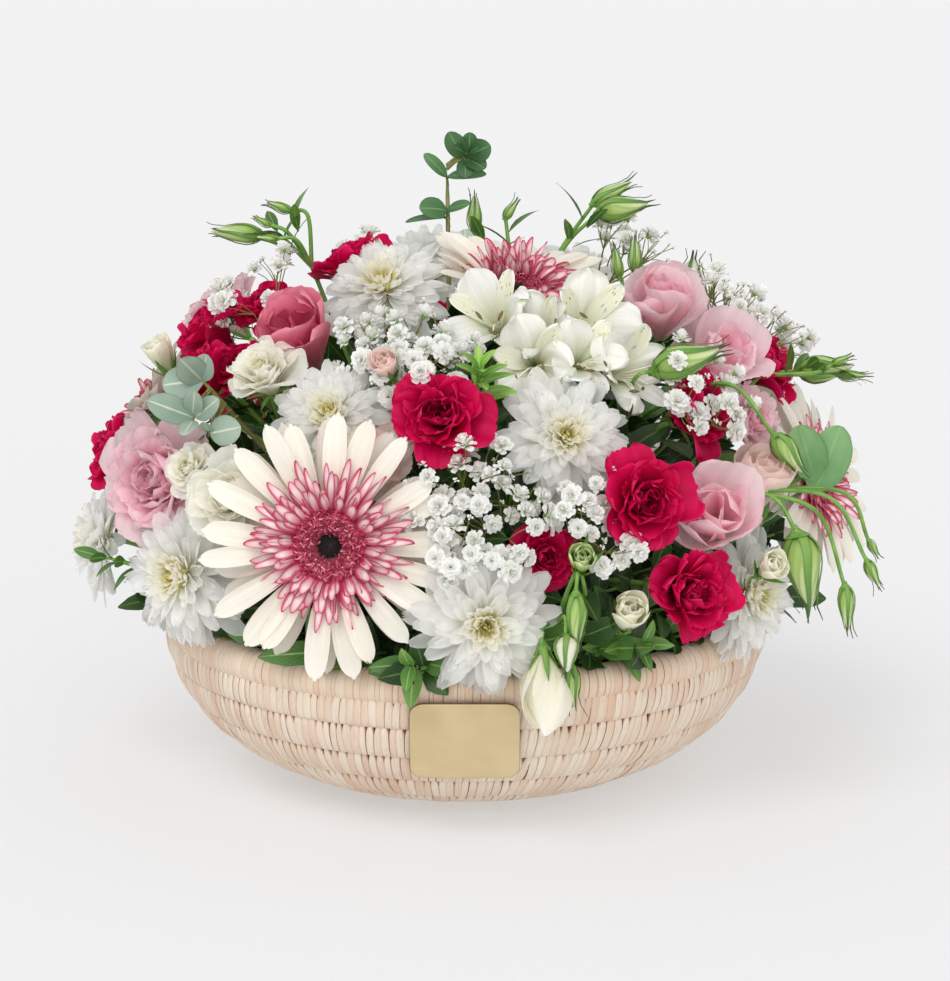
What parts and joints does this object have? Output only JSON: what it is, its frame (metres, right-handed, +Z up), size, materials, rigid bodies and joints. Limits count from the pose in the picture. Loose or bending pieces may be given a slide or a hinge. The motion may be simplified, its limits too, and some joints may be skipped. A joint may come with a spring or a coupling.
{
  "type": "flower basket arrangement",
  "caption": "Low round basket of coiled straw, filled with a domed arrangement of gerberas, chrysanthemums, lisianthus, spray roses and gypsophila in wet foam.",
  "frame": {"origin": "centre of the basket's flat underside", "axes": "+Z up, -Y towards the front with the plaque, +X to the right seen from the front"},
  "size_m": [0.3575, 0.3426, 0.2762],
  "materials": {
    "petals_blush": "satin",
    "petals_white": "satin",
    "petals_pink": "satin",
    "petals_crimson": "satin",
    "leaf_green": "satin",
    "leaf_dark": "satin",
    "leaf_grey": "matte",
    "straw": "matte",
    "liner": "satin",
    "foam": "matte",
    "plaque": "satin"
  },
  "bodies": {
    "root": {"basket": "straw", "liner": "liner", "foam": "foam", "plaque": "plaque", "gerbera_front": "petals_blush", "gerbera_top": "petals_blush", "gerbera_right": "petals_blush", "gerbera_left": "petals_blush", "gerbera_back": "petals_blush", "mum_front": "petals_white", "mum_middle": "petals_white", "mum_upper": "petals_white", "mum_top": "petals_white", "mum_left": "petals_white", "mum_right": "petals_white", "mum_back": "petals_white", "mum_back_right": "petals_white", "lisianthus_upper": "petals_pink", "lisianthus_left": "petals_pink", "lisianthus_high": "petals_pink", "lisianthus_right": "petals_pink", "lisianthus_back": "petals_pink", "lisianthus_back_right": "petals_pink", "rose_middle": "petals_crimson", "rose_right": "petals_crimson", "rose_top": "petals_crimson", "rose_left": "petals_crimson", "rose_high": "petals_crimson", "rose_back": "petals_crimson", "rose_back_right": "petals_crimson", "white_rose_upper": "petals_white", "white_rose_left": "petals_white", "white_rose_low": "petals_white", "white_rose_high": "petals_white", "white_rose_right": "petals_white", "white_rose_middle": "petals_blush", "white_rose_back": "petals_white", "white_lisianthus": "petals_white", "alstroemeria": "petals_white", "lisianthus_buds_left": "leaf_green", "lisianthus_buds_top": "leaf_green", "lisianthus_buds_right": "leaf_green", "lisianthus_buds_low": "leaf_green", "eucalyptus_top": "leaf_green", "eucalyptus_left": "leaf_grey", "eucalyptus_right": "leaf_green", "eucalyptus_back": "leaf_grey", "greens_left": "leaf_dark", "greens_middle": "leaf_green", "greens_front": "leaf_dark", "greens_low": "leaf_dark", "greens_back": "leaf_dark", "greens_back_right": "leaf_dark", "gypsophila_upper": "petals_white", "gypsophila_front": "petals_white", "gypsophila_right": "petals_white", "gypsophila_back": "petals_white", "gypsophila_back_left": "petals_white"}
  },
  "joints": []
}
